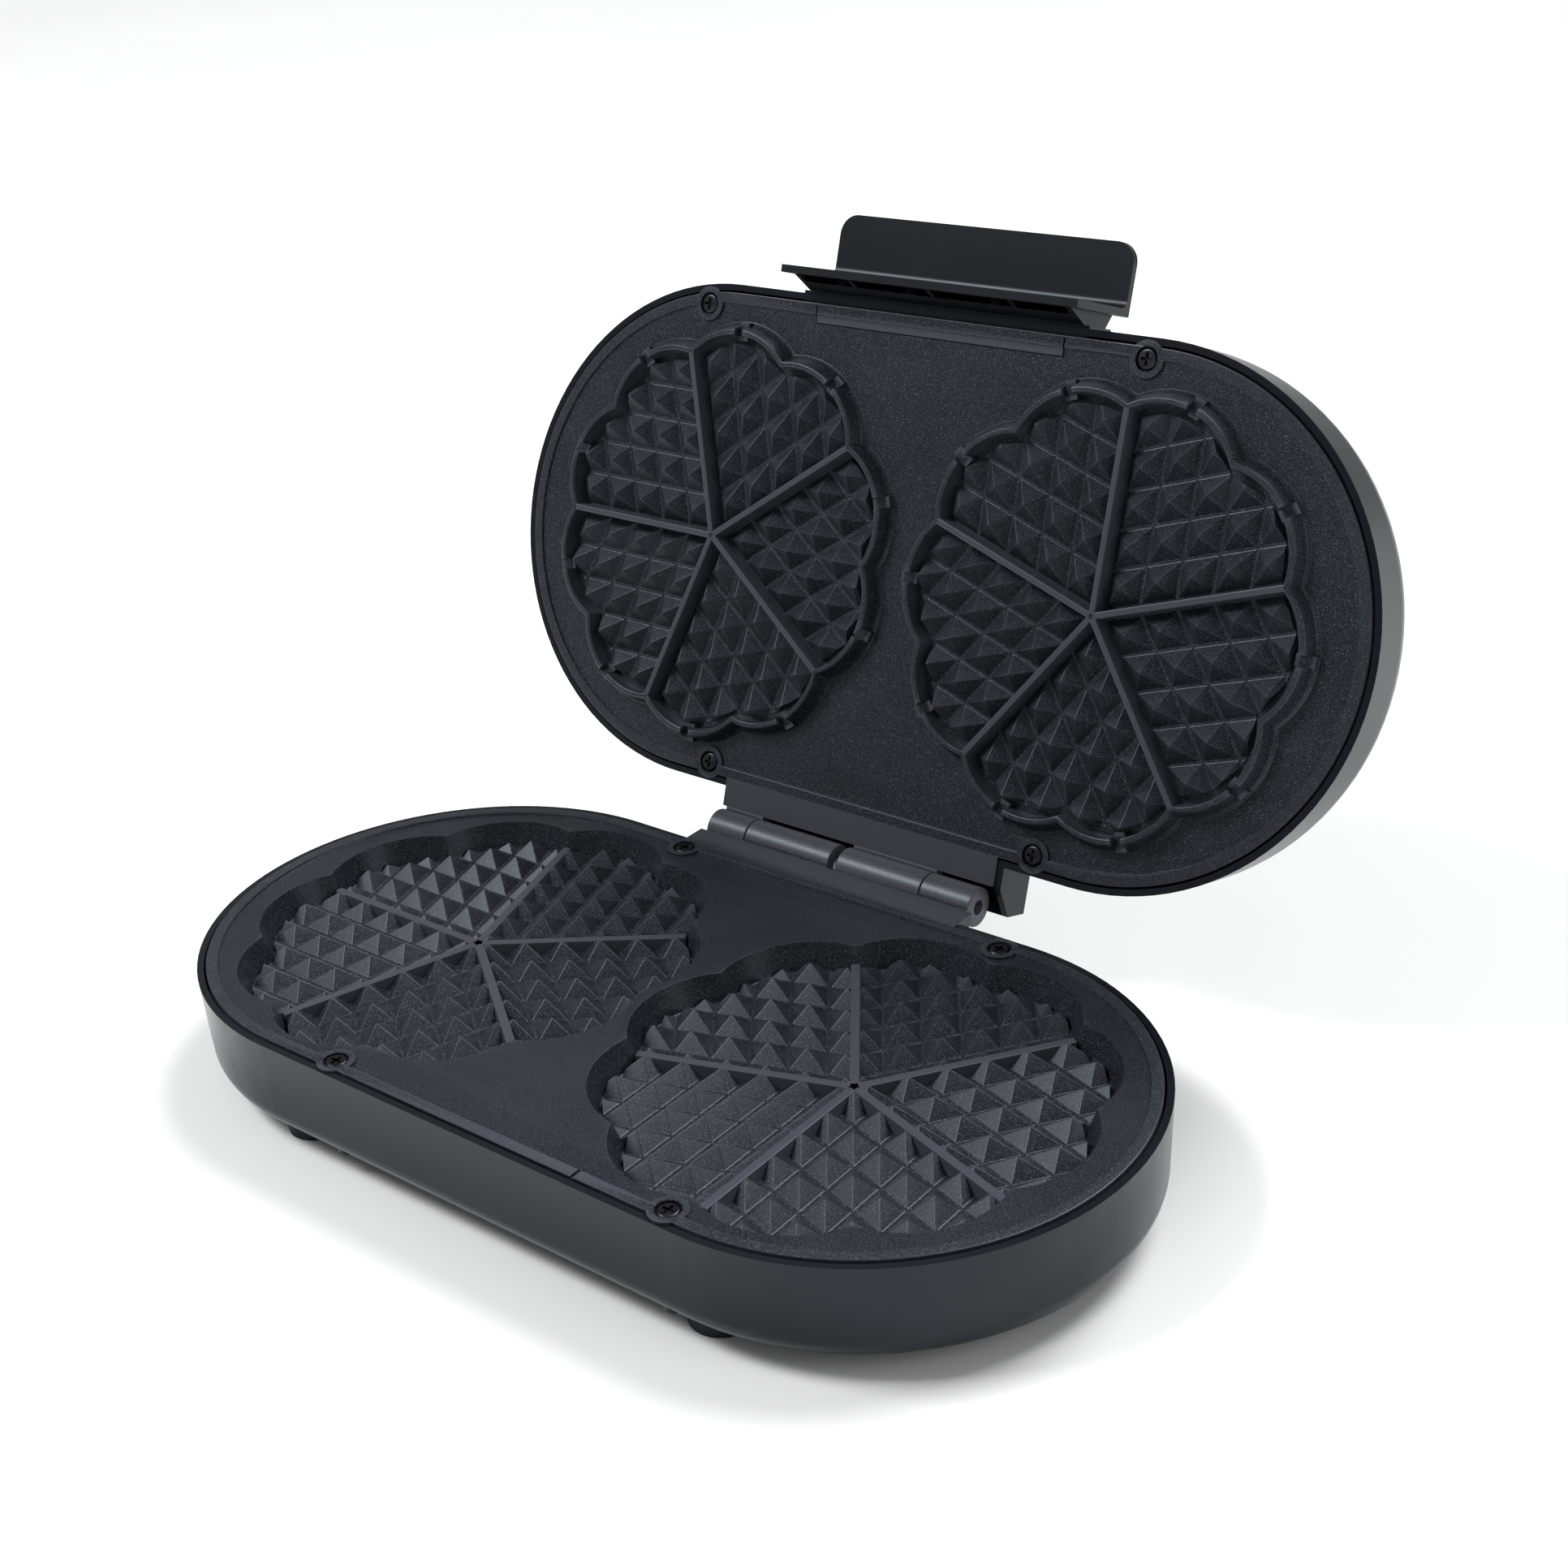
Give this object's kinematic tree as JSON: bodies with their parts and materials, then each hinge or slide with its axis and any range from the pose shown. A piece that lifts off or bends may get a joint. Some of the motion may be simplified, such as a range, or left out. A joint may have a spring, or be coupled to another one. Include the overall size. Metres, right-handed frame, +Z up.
{
  "type": "waffle maker",
  "caption": "Hinged electric waffle maker with round-ended shells, lobed waffle plates split into pyramid-patterned hearts, and a front handle on the tilting lid.",
  "frame": {"origin": "on the table plane, under the middle of the base", "axes": "+X along the two waffles, +Y from the handle side towards the hinge, +Z up"},
  "size_m": [0.402, 0.3333, 0.2784],
  "materials": {
    "shell_plastic": "satin black moulded plastic",
    "nonstick_plate": "cast plate with a speckled dark grey non-stick coat",
    "element_sheath": "heat-tinted steel sheath",
    "reflector_sheet": "bright pressed sheet",
    "terminal_steel": "plated steel",
    "black_screws": "blackened steel",
    "foot_rubber": "matte rubber",
    "pin_steel": "ground steel",
    "gland_rubber": "matte rubber",
    "block_plastic": "heat-resistant white moulding",
    "handle_plastic": "matte black heat-resistant plastic",
    "thermostat_metal": "pressed metal",
    "red_lens": "clear red plastic",
    "green_lens": "clear green plastic",
    "lamp_glass": "small neon bulb"
  },
  "bodies": {
    "base": {"base_housing": "shell_plastic", "lower_plate": "nonstick_plate", "lower_heating_element": "element_sheath", "lower_heat_reflector": "reflector_sheet", "lower_element_terminals": "terminal_steel", "lower_plate_screws": "black_screws", "rubber_feet": "foot_rubber", "foot_screws": "black_screws", "hinge_pin_left": "pin_steel", "hinge_pin_right": "pin_steel", "power_inlet_gland": "gland_rubber", "terminal_block": "block_plastic", "cord_clamp": "block_plastic"},
    "lid": {"lid_housing": "shell_plastic", "upper_plate": "nonstick_plate", "upper_heating_element": "element_sheath", "upper_heat_reflector": "reflector_sheet", "upper_element_terminals": "terminal_steel", "upper_plate_screws": "black_screws", "handle": "handle_plastic", "handle_screws": "black_screws", "thermostat": "thermostat_metal", "thermal_fuse": "thermostat_metal", "power_lens": "red_lens", "ready_lens": "green_lens", "indicator_lamps": "lamp_glass"}
  },
  "joints": [
    {"name": "lid_hinge", "type": "hinge", "parent": "base", "child": "lid", "pos_m": [0, 0.12, 0.0435], "axis": [1, 0, 0], "range_deg": [0, 108.7]}
  ]
}
